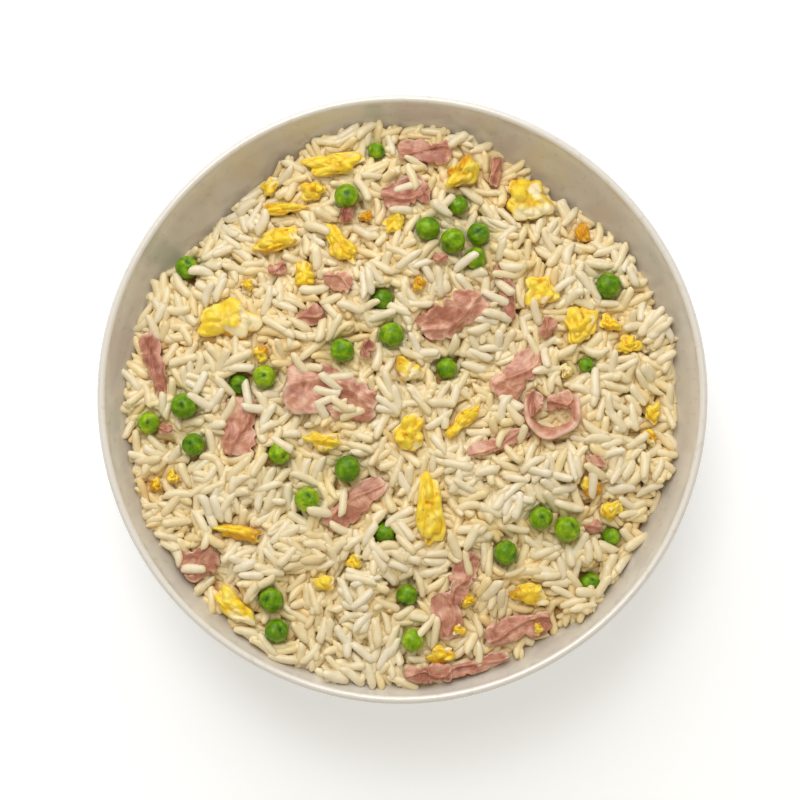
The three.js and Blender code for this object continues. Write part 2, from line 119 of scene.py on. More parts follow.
def coreHeight(x, y):
    # edge height + (crown - edge height) x (1 - share^power) + bell-shaped swells x (1 - share^6)
    x, y = np.asarray(x, float), np.asarray(y, float)
    edge = edgeRadius(np.arctan2(y, x))
    share = np.minimum(1, np.hypot(x, y) / edge)
    edgeHeight = wallHeight(edge)
    dome = edgeHeight + (heap["crown"] - edgeHeight) * (1 - share ** heap["power"])
    swell = sum(
        rise * np.exp(-((x - middleX) ** 2 + (y - middleY) ** 2) / breadth ** 2)
        for middleX, middleY, rise, breadth in heap["swells"]
    )
    return dome + swell * (1 - share ** 6)


def softNoise(x, y, z, seed=0):
    # a fixed random number at each corner of a unit lattice, blended by 3t^2 - 2t^3, from -1 to 1
    places = np.broadcast_arrays(x, y, z)
    corner = [np.floor(place).astype(np.int64) for place in places]
    step = [place - np.floor(place) for place in places]
    step = [t * t * (3 - 2 * t) for t in step]
    total = 0
    for way in np.ndindex(2, 2, 2):
        mixed = sum((c + w) * factor for c, w, factor in zip(corner, way, scramble["corner"]))
        mixed = (mixed + seed * scramble["seed"]) % scramble["range"]
        for shift, factor in scramble["shiftAndFactor"]:
            mixed = ((mixed ^ (mixed >> shift)) * factor) % scramble["range"]
        share = (mixed ^ (mixed >> scramble["lastShift"])) / scramble["range"]
        near = [t if w else 1 - t for t, w in zip(step, way)]
        total = total + share * (near[0] * near[1]) * near[2]
    return 2 * total - 1


def flatNoise(x, y, breadth, layer, seed):
    # soft noise over the plan, with a lattice as wide as the breadth
    return softNoise(x / breadth, y / breadth, layer, seed)


def billows(x, y, z, seed=0):
    # round swellings with sharp creases between them: 1.6 times the size of the soft noise
    return np.abs(softNoise(x, y, z, seed)) * 1.6


def ballPoints(rings, sides):
    # a unit ball from its lowest point to its top
    up = np.linspace(-pi / 2, pi / 2, rings + 2)[1:-1, None]
    side = np.arange(sides)[None] * 2 * pi / sides
    ball = np.broadcast_arrays(np.cos(up) * np.cos(side), np.cos(up) * np.sin(side), np.sin(up))
    return ringPoints((0, 0, -1), np.stack(ball, -1), (0, 0, 1))


def placed(at, turn, x, y):
    # turned about the vertical by the angle in degrees, then moved
    c, s = cos(radians(turn)), sin(radians(turn))
    return at[0] + x * c - y * s, at[1] + x * s + y * c


def fittedToNode(points, node):
    # each axis stretched so that the shape fills the box of its solid
    low, high = (np.array(corner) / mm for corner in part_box(node))
    flat = points.reshape(-1, 3)
    ownLow, ownHigh = flat.min(0), flat.max(0)
    return low + (points - ownLow) * (high - low) / (ownHigh - ownLow)


# Meshes.

def ringFaces(rings, sides):
    # a closed skin: a pole, rings of points, a pole; squares between rings and a fan at each pole
    side = np.arange(sides)
    after = (side + 1) % sides
    first = 1 + np.arange(rings - 1)[:, None] * sides
    squares = np.stack([first + side, first + after, first + sides + after, first + sides + side], -1)
    last = 1 + (rings - 1) * sides
    startFan = np.stack([0 * side, 1 + after, 1 + side], -1)
    endFan = np.stack([0 * side + last + sides, last + side, last + after], -1)
    return squares.reshape(-1, 4), np.concatenate([startFan, endFan])


def ringPoints(startPole, rings, endPole):
    # the two poles and the rings between them as one list
    parts = np.reshape(startPole, (1, 3)), rings.reshape(-1, 3), np.reshape(endPole, (1, 3))
    return np.concatenate(parts)


def around(radius, angle, z):
    # points at a radius, an angle and a height about the middle of the bowl
    return np.stack(np.broadcast_arrays(radius * np.cos(angle), radius * np.sin(angle), z), -1)


def newObject(name, data):
    made = bpy.data.objects.new(name, data)
    scene.collection.objects.link(made)
    return made


def closedMesh(name, bodies, rings, sides, material, slotName, nodes, fields=None):
    # one piece of closed skins of the same rings and sides, as an array of skins x points x 3; the faces
    # are turned round where the volume, the sum of the corners' triple products, is negative
    bodies = np.asarray(bodies, float).reshape(-1, 2 + rings * sides, 3)
    squares, fans = ringFaces(rings, sides)
    a, b, c = bodies[0][np.concatenate([fans, squares[:, :3], squares[:, [0, 2, 3]]]).T]
    if np.sum(a * np.cross(b, c)) < 0:
        squares, fans = squares[:, ::-1], fans[:, ::-1]
    shift = np.arange(len(bodies)) * bodies.shape[1]
    squares = (squares[None] + shift[:, None, None]).reshape(-1, 4)
    fans = (fans[None] + shift[:, None, None]).reshape(-1, 3)
    corners = np.concatenate([squares.ravel(), fans.ravel()]).astype(np.int32)
    counts = np.repeat([4, 3], [len(squares), len(fans)])
    starts = (np.cumsum(counts) - counts).astype(np.int32)
    points = bodies.reshape(-1, 3) * mm
    mesh = bpy.data.meshes.new(name)
    mesh.vertices.add(len(points))
    mesh.vertices.foreach_set("co", points.astype(np.float32).ravel())
    mesh.loops.add(len(corners))
    mesh.loops.foreach_set("vertex_index", corners)
    mesh.polygons.add(len(starts))
    mesh.polygons.foreach_set("loop_start", starts)
    mesh.polygons.foreach_set("use_smooth", np.ones(len(starts), bool))
    mesh.update(calc_edges=True)
    for key, values in (fields or {}).items():
        layer = mesh.attributes.new(key, "FLOAT", "POINT")
        values = np.broadcast_to(values, bodies.shape[:2]).ravel()
        layer.data.foreach_set("value", values.astype(np.float32))
    mesh.materials.append(material)
    piece = newObject(name, mesh)
    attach(piece, "root")
    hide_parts(*nodes)


# Materials.

unchanged = (1, 1, 1)  # the tint that leaves a colour as it is


def newMaterial(name, values):
    # a material and its shader, with its plain values
    material = bpy.data.materials.new(name)
    material.use_nodes = True
    shader = material.node_tree.nodes["Principled BSDF"]
    for key, value in values.items():
        shader.inputs[key].default_value = value
    return material, shader


def moistMaterial(name, roughness, share, reach):
    # a share of the light goes a millimetre or so into it, by a reach for red, green and blue
    return newMaterial(name, {
        "Roughness": roughness,
        "Subsurface Weight": share,
        "Subsurface Scale": 0.0012,
        "Subsurface Radius": reach,
    })


def addNode(material, kind, inputs=None, settings=None):
    # a node; an input takes a value or another node's output
    made = material.node_tree.nodes.new(kind)
    for key, value in (settings or {}).items():
        setattr(made, key, value)
    for key, value in (inputs or {}).items():
        join(made.inputs[key], value)
    return made


def join(socket, value):
    # an output is linked to the socket, and a plain value is set on it
    if isinstance(value, bpy.types.NodeSocket):
        socket.id_data.links.new(value, socket)
    else:
        socket.default_value = value


def ramp(material, factor, places, colours):
    # blended colours, each at its place along a factor from 0 to 1
    made = addNode(material, "ShaderNodeValToRGB", {"Fac": factor})
    elements = made.color_ramp.elements
    while len(elements) < len(colours):
        elements.new(0.5)
    for element, place, colour in zip(elements, places, colours):
        element.position = place
        element.color = (*colour, 1)
    return made.outputs["Color"]


def blendColours(material, factor, first, second, kind="MIX"):
    # from the first colour to the second as the factor goes from 0 to 1
    made = addNode(material, "ShaderNodeMix", settings={"data_type": "RGBA", "blend_type": kind})
    join(made.inputs[0], factor)
    for socket, value in ((made.inputs[6], first), (made.inputs[7], second)):
        join(socket, value if isinstance(value, bpy.types.NodeSocket) else (*value, 1))
    return made.outputs[2]


def pattern(material, scale, detail=3.0, roughness=0.55, distortion=0.0, place=None):
    # cloudy pattern; in object coordinates its scale is in repeats for each metre
    if place is None:
        place = addNode(material, "ShaderNodeTexCoord").outputs["Object"]
    return addNode(material, "ShaderNodeTexNoise", {
        "Vector": place, "Scale": scale, "Detail": detail, "Roughness": roughness, "Distortion": distortion,
    }).outputs["Fac"]


def tinted(material, colour, factor, places, tints):
    # the colour times a ramp along the factor
    return blendColours(material, 1.0, colour, ramp(material, factor, places, tints), "MULTIPLY")


def field(material, name):
    # a value that each point of the mesh carries
    return addNode(material, "ShaderNodeAttribute", settings={"attribute_name": name}).outputs["Fac"]


def finished(material, shader, colour, height, depth, strength):
    # the material with its colour, and with relief as deep as the depth in metres
    bump = addNode(material, "ShaderNodeBump", {"Strength": strength, "Distance": depth, "Height": height})
    join(shader.inputs["Normal"], bump.outputs["Normal"])
    join(shader.inputs["Base Color"], colour)
    return material


# A pixel of the 800 x 800 frame is 0.327 mm at the height of the rim.
camera = {
    "frame": 261.6,
    "distance": 760.0,
    "elevation": 86.7,
    "target": (-0.7, -1.05, rimMiddle),
    "sensor": 36.0,
    "clip": (0.01, 60.0),  # in metres
}


def makeCamera():
    # the lens is sensor x distance / frame
    data = bpy.data.cameras.new("camera")
    data.sensor_width = camera["sensor"]
    distance = camera["distance"]
    data.lens = camera["sensor"] * distance / camera["frame"]
    data.clip_start, data.clip_end = camera["clip"]
    tilt = radians(camera["elevation"])
    x, y, z = camera["target"]
    view = newObject("camera", data)
    view.location = x * mm, (y - distance * cos(tilt)) * mm, (z + distance * sin(tilt)) * mm
    view.rotation_euler = (pi / 2 - tilt, 0, 0)
    scene.camera = view


makeCamera()
print("camera placed")


# The bowl.

def glazeMaterial():
    # painted shade inside, greyish, and painted light on the rim, paler, with less of it down the outside
    material, shader = newMaterial("glaze", {
        "Roughness": 0.25, "Coat Weight": 1.0, "Coat Roughness": 0.09, "Coat IOR": 1.6,
    })
    inside = ramp(material, pattern(material, 22.0, 4.0), (0.3, 0.7), bowl["paintedShadeInsideColours"])
    # the thin field blends from the painted shade inside to the painted light on the rim
    body = blendColours(material, field(material, "thin"), inside, bowl["paintedRimLightColour"])
    specks = pattern(material, 420.0, 2.0)
    colour = tinted(material, body, specks, (0.30, 0.42), [(0.93, 0.90, 0.86), unchanged])
    return finished(material, shader, colour, pattern(material, 60.0, 2.0), 0.0006, 0.25)


def bowlProfile():
    # radius and height, up the inside, over the round rim and down to the foot; the outside is the
    # inside moved by the thickness, square to its slope
    thickness, half, power = bowl["thickness"], bowl["thickness"] / 2, bowl["wallPower"]
    inside = innerRadius * np.linspace(0, 1, bowl["rings"] + 1)[1:] ** 0.7
    slope = (rimMiddle - bowl["floorTop"]) * power / innerRadius * (inside / innerRadius) ** (power - 1)
    length = np.hypot(slope, 1)
    inner = np.stack([inside, wallHeight(inside)], 1)
    outer = inner + thickness * np.stack([slope / length, -1 / length], 1)
    turn = np.linspace(pi, 0, bowl["rimRings"] + 2)[1:-1]
    rim = np.stack([bowl["rimRadius"] - half + half * np.cos(turn), rimMiddle + half * np.sin(turn)], 1)
    recess = bowl["footRecess"]
    footTop = recess * 2
    footOuter, footInner = bowl["footRadius"], bowl["footRadius"] - bowl["footWidth"]
    keep = (outer[:, 1] < rimMiddle - thickness * 0.4) & (outer[:, 1] > footTop + 0.5)
    keep &= outer[:, 0] > footOuter + 2
    foot = np.array([
        (footOuter + 1.2, footTop + 0.3), (footOuter + 0.6, footTop - 0.6), (footOuter + 0.3, 0.7),
        (footOuter + 0.1, 0.2), (footOuter - 0.4, 0), (footInner + 0.4, 0),
        (footInner - 0.1, 0.2), (footInner - 0.6, recess - 0.5), (footInner - 1.4, recess),
        (footInner * 0.6, recess),
    ])
    return np.concatenate([inner, rim, [(bowl["rimRadius"], rimMiddle)], outer[keep][::-1], foot])


def makeBowl():
    # the profile turned about the middle; as in a thrown wall its upper part wavers, by sines of the angle
    profile = bowlProfile()
    sides, wall, rim = bowl["sides"], bowl["rings"], bowl["rimRings"]
    angle = np.arange(sides) * 2 * pi / sides
    waver = sum(size * np.sin(count * angle + start) for count, size, start in bowl["waves"])
    most = sum(size for count, size, start in bowl["waves"])
    high = (profile[:, 1] - bowl["wavesFrom"]) / (bowl["height"] - bowl["wavesFrom"])
    high = np.clip(high, 0, 1)[:, None]
    radius = profile[:, 0][:, None] - most * high + waver[None] * high
    rings = around(radius, angle, profile[:, 1][:, None])
    points = ringPoints((0, 0, bowl["floorTop"]), rings, (0, 0, bowl["footRecess"]))
    # the thin field paints light: it rises from painted shade inside to the paler rim and falls again down
    # the outside
    row = np.arange(len(profile))
    thin = np.interp(row, [wall, wall + rim // 2, wall + rim], [0.8, 1.0, bowl["paintedOutsideRimLight"]])
    towardRim = (profile[:wall, 1] - bowl["height"] + bowl["paintedRimLightReach"]) / bowl["paintedRimLightReach"]
    thin[:wall] = np.clip(towardRim, 0, 1) ** 1.5
    thin = np.concatenate([[0], np.repeat(thin, sides), [1]])
    closedMesh(
        "glazed_bowl", points, len(profile), sides, glazeMaterial(), "glaze", ["bowl"], {"thin": thin})


makeBowl()
print("bowl made")


# Toppings: each is noted for the rice, which settles round it.

stamps = []  # points of every topping, with its kind
peaKind, eggKind, hamKind = 1, 2, 3
slots = {peaKind: "pea", eggKind: "egg", hamKind: "ham"}


def addTopping(prefix, node, points, fields, size, material, kind):
    # a piece of its own, which fills the box of its solid
    points = fittedToNode(points, node)
    stamps.append((points, kind))
    closedMesh(prefix + node, points, *size, material, slots[kind], [node], fields)


def addScraps(name, scraps, size, material, kind):
    # many small ones as one piece, given as pairs of points and fields
    stamps.extend((points, kind) for points, fields in scraps)
    joined = {
        key: np.array([np.broadcast_to(fields[key], len(points)) for points, fields in scraps])
        for key in scraps[0][1]
    }
    skins = np.array([points for points, fields in scraps])
    closedMesh(name, skins, *size, material, slots[kind], ["rice_heap"], joined)


# Peas.

peaShape = {
    "rings": 26,
    "sides": 34,
    # depths as shares of the radius
    "dimple": 0.16,
    "seam": 0.03,
    "lumps": 0.06,
    "wrinkle": 0.035,
    "flats": 3,
    "flatAt": 0.9,  # how far from the middle its flats lie
    "hiddenTop": 4.2,  # how far the hidden peas reach over the bare heap
    "greens": [(0.08, 0.21, 0.002), (0.18, 0.37, 0.002), (0.36, 0.54, 0.008)],
    # painted shade in the dimple and the seam
    "creaseColour": (0.02, 0.09, 0.003),
}
peaCount = 22  # those with solids, which give their places and sizes
# place and size of those nearly under the rice
hiddenPeas = [
    (-6.4, 32.0, 7.0), (-53.4, 4.4, 7.0), (-5.6, -44.4, 7.0), (1.6, -64.6, 7.0), (61.6, -60.6, 6.5),
    (68.6, -45.8, 6.0), (18.4, 63.6, 6.5), (60.4, 10.6, 5.0), (14.6, 9.4, 7.0), (-8.5, 82.0, 5.5),
]


def peaMaterial():
    # green by each pea's tone, mottled, with painted shade darkening the dimple and the seam
    material, shader = moistMaterial("pea_skin", 0.3, 0.2, (0.6, 1.0, 0.1))
    join(shader.inputs["Specular IOR Level"], 0.3)
    green = ramp(material, field(material, "tone"), (0.0, 0.5, 1.0), peaShape["greens"])
    mottle = [(0.50, 0.62, 0.4), unchanged, (1.8, 1.42, 5.0)]
    colour = tinted(material, green, pattern(material, 420.0), (0.34, 0.53, 0.68), mottle)
    creaseShaded = blendColours(material, field(material, "crease"), colour, peaShape["creaseColour"])
    return finished(material, shader, creaseShaded, pattern(material, 520.0), 0.0005, 0.6)


def peaSkin(index, tone):
    # a ball drawn in at one pole by a bell-shaped dimple, with a shallow seam, fine wrinkles and
    # flats where it lay against others, turned at random; also the painted shade of each point in the
    # dimple and the seam
    draw = np.random.RandomState(100 + index)
    ball = ballPoints(peaShape["rings"], peaShape["sides"]) * (1, 1, -1)
    x, y, z = ball.T
    dimple = bell(np.arccos(np.clip(z, -1, 1)), 0.26 + 0.1 * draw.rand())
    seam = bell(x, 0.06) * (z > -0.2) * np.clip(z + 0.2, 0, 1)
    lumps = softNoise(x * 1.3, y * 1.3, z * 1.3, index + 50)
    reach = 1 - peaShape["dimple"] * dimple - peaShape["seam"] * seam + peaShape["lumps"] * lumps
    reach = reach - peaShape["wrinkle"] * (1 - billows(x * 3, y * 3, z * 3, index))
    for _ in range(peaShape["flats"]):
        toward = draw.normal(0, 1, 3)
        facing = ball @ (toward / np.linalg.norm(toward))
        reach = np.minimum(reach, peaShape["flatAt"] / np.maximum(facing, 0.2))
    lean, spin = draw.uniform(0, 1.5), draw.uniform(0, 2 * pi)
    x, y, z = (ball * reach[:, None]).T
    x, z = x * cos(lean) + z * sin(lean), -x * sin(lean) + z * cos(lean)
    x, y = x * cos(spin) - y * sin(spin), x * sin(spin) + y * cos(spin)
    # painted shade, darkest deep in the dimple and along the seam
    crease = np.clip(0.85 * dimple ** 1.5 + 0.3 * seam, 0, 1)
    return np.stack([x, y, z], -1), {"crease": crease, "tone": tone}


def makePeas():
    # tones are random, and for the hidden peas they go from dark to light
    material = peaMaterial()
    size = (peaShape["rings"], peaShape["sides"])
    for index in range(peaCount):
        tone = 0.25 + 0.6 * np.random.RandomState(index).rand()
        skin, fields = peaSkin(index, tone)
        addTopping("green_", f"pea_{index + 1:02d}", skin, fields, size, material, peaKind)
    scraps = []
    for index, (x, y, across) in enumerate(hiddenPeas):
        skin, fields = peaSkin(60 + index, 0.2 + 0.04 * index)
        middle = coreHeight(x, y) + peaShape["hiddenTop"] - across / 2
        scraps.append((skin * across / 2 + (x, y, middle), fields))
    addScraps("peas_in_rice", scraps, size, material, peaKind)


makePeas()
print("peas made")


# Egg.

eggShape = {
    "rings": 40,
    "sides": 72,
    "rest": 0.6,  # height of its underside over the bare heap
    "belly": 0.35,  # share of its height at which it is widest
    "lumps": 2.9,  # breadth of the lumps of its top
    "grit": 0.9,
    "scrapHeight": 3.9,
    "yellows": [(1.0, 0.66, 0.025), (1.0, 0.76, 0.05), (1.0, 0.84, 0.18)],
    # golden browning, and also painted shade in the creases
    "goldenAndCreaseShade": (0.74, 0.36, 0.01),
    "whitish": (1.0, 0.87, 0.54),
}
# place, length, width, height, turn in degrees, whitish share, golden share
eggs = [
    (-23, 77.6, 24, 9.5, 5.5, 5, 0.1, 0.2), (-39.6, 62.8, 17, 5, 4.5, 2, 0.1, 0.3),
    (-41, 52.2, 18, 8.5, 5.5, 15, 0.1, 0.35), (-20.4, 49.8, 18, 9, 5, -55, 0.3, 0.1),
    (-32.2, 39.6, 12, 7.5, 5, 95, 0.15, 0.35), (-57, 25.6, 24, 14.5, 6, -5, 0.35, 0.3),
    (20.2, 74.2, 16, 10.5, 7.5, 42, 0.1, 0.45), (42.3, 66, 19, 16, 7, -30, 0.4, 0.25),
    (45.5, 34.5, 13.5, 12, 5, 10, 0.3, 0.35), (58.5, 23.8, 14, 11.5, 5.5, 70, 0.2, 0.2),
    (2.2, 8.8, 12, 8, 5.5, -30, 0.4, 0.3), (2.4, -11.7, 14.5, 11, 6, 78, 0.4, 0.3),
    (20, -8, 18, 5.8, 5, 44, 0.2, 0.4), (-26, -14.4, 14, 7, 5, -8, 0.3, 0.3),
    (9.3, -38.1, 27, 10.5, 5.5, 92, 0.1, 0.1), (41.5, -64.6, 15, 8.5, 5, -8, 0.3, 0.3),
    (-53.6, -44.2, 20, 6, 4.5, -10, 0.35, 0.5), (-55, -68.2, 19, 8.5, 5, -42, 0.3, 0.05),
    (12.5, -84.2, 11, 7, 4.5, 8, 0.2, 0.4),
]
# place, size, whitish share and golden share of the scraps
eggScraps = [
    (-29.5, 68.6, 8, 0.1, 0.3), (-43.8, 70.6, 6.5, 0.6, 0.1), (-46.3, 14.4, 5.5, 0.1, 0.5),
    (-50.9, 37.4, 4, 0.1, 0.4), (-12, 59.6, 4.5, 0, 1), (-2.4, 57.4, 7.5, 0.1, 0.1),
    (60, 55.2, 6.5, 0, 0.9), (68.5, 24.6, 6.5, 0.2, 0.3), (74.6, 17.6, 7.5, 0.2, 0.2),
    (5.6, 37, 5, 0.1, 0.7), (53.8, 8.6, 4.5, 0.7, 0), (61.6, -29.4, 7.5, 0, 0.8),
    (68.4, -36.8, 7, 0.2, 0.3), (82.6, -5, 6, 0.1, 0.3), (81.4, -13, 5.5, 0.2, 0.4),
    (-25.4, -60.6, 6.5, 0.2, 0.3), (-15.6, -53.8, 5.5, 0.4, 0.3), (-81, -28.6, 4.5, 0, 0.6),
    (-75.4, -26, 4.5, 0.1, 0.5), (18.4, -76, 4.5, 0.3, 0.3), (21.5, -66.4, 4.5, 0.2, 0.4),
    (44.6, -75.8, 4, 0.2, 0.4),
]


def eggMaterial():
    # clouded yellow with golden and whitish parts, the golden colour also as painted shade in the creases,
    # and a few browned spots
    material, shader = moistMaterial("scrambled_egg", 0.38, 0.12, (1.0, 0.6, 0.15))
    yellow = ramp(material, pattern(material, 190.0), (0.3, 0.5, 0.72), eggShape["yellows"])
    goldenAndCreaseShade = blendColours(material, field(material, "gold"), yellow, eggShape["goldenAndCreaseShade"])
    colour = blendColours(material, field(material, "white"), goldenAndCreaseShade, eggShape["whitish"])
    spots = pattern(material, 330.0, 2.0)
    browned = tinted(material, colour, spots, (0.27, 0.37), [(0.66, 0.45, 0.2), unchanged])
    return finished(material, shader, browned, pattern(material, 700.0, 4.0, 0.6), 0.0003, 0.4)


def eggCurd(x, y, length, width, height, turn, white, gold, seed):
    # a ball swollen into billows, as far out as 0.9 + 0.11 sin(3a + 1.9i) + 0.07 sin(5a + 2.7i) in
    # direction a of curd i, widest at a third of its height, with lumps on top; its whitish and golden
    # shares are soft noise raised by the given ones, and the creases take the golden colour as painted
    # shade
    px, py, pz = ballPoints(eggShape["rings"], eggShape["sides"]).T
    side = np.arctan2(py, px)
    folds = billows(px * 1.9, py * 1.5, pz * 1.2 + seed, seed)
    small = billows(px * 4.6, py * 3.6, pz * 3.2, seed + 7)
    ragged = softNoise(px * 6.5, py * 5.5, pz * 2, seed + 3)
    reach = 0.9 + 0.11 * np.sin(3 * side + seed * 1.9) + 0.07 * np.sin(5 * side + seed * 2.7)
    reach = reach * (0.88 + 0.2 * folds + 0.04 * small + 0.03 * ragged)
    sx, sy = placed((x, y), turn, px * reach * length / 2, py * reach * width / 2)
    belly = eggShape["belly"]
    lift = np.where(pz > 0, belly + (1 - belly) * pz, belly * (1 + pz))
    lumps = billows(sx / eggShape["lumps"], sy / eggShape["lumps"], 1.5, seed + 31)
    grit = flatNoise(sx, sy, eggShape["grit"], 0.5, seed + 37)
    rise = lift * (0.7 + 0.3 * folds + 0.24 * lumps) + np.clip(pz, 0, 1) * (0.04 * grit - 0.05)
    points = np.stack([sx, sy, coreHeight(sx, sy) + eggShape["rest"] + height * rise], -1)
    whiteField = 0.5 * softNoise(px * 1.6, py * 1.6, pz * 1.6, seed + 11) + 0.25 * px
    whiteField = np.clip((whiteField + white - 0.5) * 6, 0, 1)
    edge = np.clip((np.hypot(px, py) - 0.93) * 9, 0, 1) * 0.35 * (small > 0.4)
    goldAndPaintedCreaseShade = 0.5 * softNoise(px * 1.4, py * 1.4, pz * 1.4, seed + 23)
    goldAndPaintedCreaseShade = np.clip((goldAndPaintedCreaseShade + gold - 0.5) * 5, 0, 1)
    # painted shade: the creases between folds and lumps take the golden colour
    creases = np.clip(0.24 - folds, 0, 1) + np.clip(0.2 - lumps, 0, 1)
    goldAndPaintedCreaseShade = np.clip(goldAndPaintedCreaseShade + 2.2 * creases, 0, 1)
    return points, {"white": np.clip(whiteField + edge, 0, 1), "gold": goldAndPaintedCreaseShade}


def makeEggs():
    # the scraps are small curds, each turned further than the last
    material = eggMaterial()
    size = (eggShape["rings"], eggShape["sides"])
    for index, curd in enumerate(eggs):
        points, fields = eggCurd(*curd, index)
        addTopping("curd_", f"egg_{index + 1:02d}", points, fields, size, material, eggKind)
    height = eggShape["scrapHeight"]
    scraps = [
        eggCurd(x, y, across * 1.15, across * 0.9, height, 47 * index, white, gold, 40 + index)
        for index, (x, y, across, white, gold) in enumerate(eggScraps)
    ]
    addScraps("egg_scraps", scraps, size, material, eggKind)


makeEggs()
print("egg made")


# Ham.

hamShape = {
    "rings": 58,
    "columns": 22,  # across its upper and its lower side each
    "rest": 1.0,  # height of its underside over the bare heap
    "thickness": 2.0,
    # place, depth and breadth of the notches, at least and at most, as shares of a slice
    "notches": [(0.12, 0.1, 0.02), (0.88, 0.34, 0.05)],
    "creases": 0.9,
    "fold": 1.3,  # height of the fold that runs along it
    "scrapRise": 0.6,
    "shades": (0.36, 0.5, 0.64),  # places of the colours in the clouds
    "pinks": [(0.54, 0.22, 0.14), (0.72, 0.37, 0.25), (0.88, 0.60, 0.44)],
    "reds": [(0.24, 0.06, 0.03), (0.42, 0.14, 0.09), (0.60, 0.27, 0.18)],
    "edgeColour": (0.90, 0.66, 0.52),
    "fibreStretch": 0.22,  # places along a slice count for less than places across it
}
# place, length, width at the first and the last end, turn in degrees, wave, depth of colour
hams = [
    (-81.6, 11.4, 21, 4, 8.5, 106, 1.0, 0.7), (1, 67.4, 15, 9, 11, 20, 1.2, 0.75),
    (7.6, 81.8, 18, 7, 8.5, -5, 1.2, 0.7), (31.2, 75.2, 10, 4, 4.5, 80, 0.8, 0.85),
    (16.4, 26.8, 23, 10, 12, 30, 1.6, 0.35), (34, 34.5, 18, 5, 4, -77, 1.0, 0.7),
    (38, 7.4, 20, 12, 7.5, 49, 1.4, 0.3), (31.5, -15, 21, 5, 4, 20, 1.4, 0.4),
    (-23, 1, 30, 19, 12, -18, 1.8, 0.4), (-53.2, -9.6, 19, 12, 10, 85, 1.4, 0.35),
    (-66.4, -54, 12.5, 11, 9, 30, 1.2, 0.5), (-15.3, -35, 23, 8, 7, 40, 2.2, 0.4),
    (14.6, -71.4, 15.5, 9, 11, 100, 1.4, 0.5), (38, -75.6, 22, 8.5, 7.5, 15, 1.6, 0.45),
    (24.4, -87.4, 21, 4.5, 4, 17, 0.8, 0.65), (20.3, -56, 11.5, 8.5, 7, 62, 1.0, 0.55),
]
hamCurl = {
    "at": (49, -5), "radius": 6.2, "height": 5.5, "start": 150, "end": 400, "lean": 2.6, "depth": 0.3,
}
# place, size, turn and depth of colour of the scraps
hamScraps = [
    (-41.2, 42.4, 5, 10, 0.6), (-21, 38, 7.5, -20, 0.2), (-77.4, -10.4, 4, 0, 0.5),
    (47.7, 22.6, 6, 60, 0.6), (62.4, -42.6, 4.5, 20, 0.7), (63.1, -21.4, 5, -40, 0.5),
    (-11.6, 15.4, 5, 70, 0.5), (-30.2, 26.4, 7.5, 30, 0.35), (12.6, 45.4, 4, 0, 0.4),
    (-18.2, 61.4, 6, 80, 0.95), (51.5, -1.5, 7, 15, 0.3), (42.5, -2.5, 7, 70, 0.35),
    (18.5, -63, 7.5, 70, 0.5), (11.5, -90, 7.5, 5, 0.6), (5, -90.5, 6.5, -8, 0.6),
]


def hamMaterial():
    # pink to red by its depth of colour, clouded, streaked along it by fibres, paler at its edges
    material, shader = moistMaterial("ham_meat", 0.36, 0.2, (1.0, 0.4, 0.25))
    depth = field(material, "depth")
    clouds = pattern(material, 210.0, 4.0, 0.6, 0.8)
    pink, red = (
        ramp(material, clouds, hamShape["shades"], hamShape[colours]) for colours in ("pinks", "reds")
    )
    place = addNode(material, "ShaderNodeCombineXYZ", {
        "X": field(material, "along"), "Y": field(material, "across"), "Z": depth,
    }).outputs[0]
    fibres = pattern(material, 1.0, 3.0, 0.6, 0.5, place)
    streaks = [(0.88, 0.80, 0.78), unchanged, (1.12, 1.2, 1.22)]
    meat = blendColours(material, depth, pink, red)
    meat = tinted(material, meat, fibres, (0.34, 0.52, 0.68), streaks)
    colour = blendColours(material, field(material, "edge"), meat, hamShape["edgeColour"])
    return finished(material, shader, colour, fibres, 0.0003, 0.3)


def sliceGrid():
    # over the top of a slice and back underneath, at each place along it; also how far that place is
    # from the middle, and how near each point is to the rim
    across = np.linspace(-1, 1, hamShape["columns"])
    face = np.repeat([1.0, -1.0], len(across))
    across = np.concatenate([across, across[::-1]])
    share = np.linspace(0, 1, hamShape["rings"])[:, None]
    fromMiddle = np.abs(2 * share - 1)
    return across, face, share, fromMiddle, np.maximum(np.abs(across) + 0 * share, fromMiddle)


def withPoles(values):
    # one value for each point; the poles take the means of the rings beside them
    return np.concatenate([[values[0].mean()], values.ravel(), [values[-1].mean()]])


def sliceSkin(x, y, z, edge, along, across):
    # the points and the fields of a slice, closed at both ends
    body = np.stack([x, y, z], -1)
    return ringPoints(body[0].mean(0), body, body[-1].mean(0)), {
        "edge": withPoles(edge),
        "along": withPoles(hamShape["fibreStretch"] * along),
        "across": withPoles(across),
    }


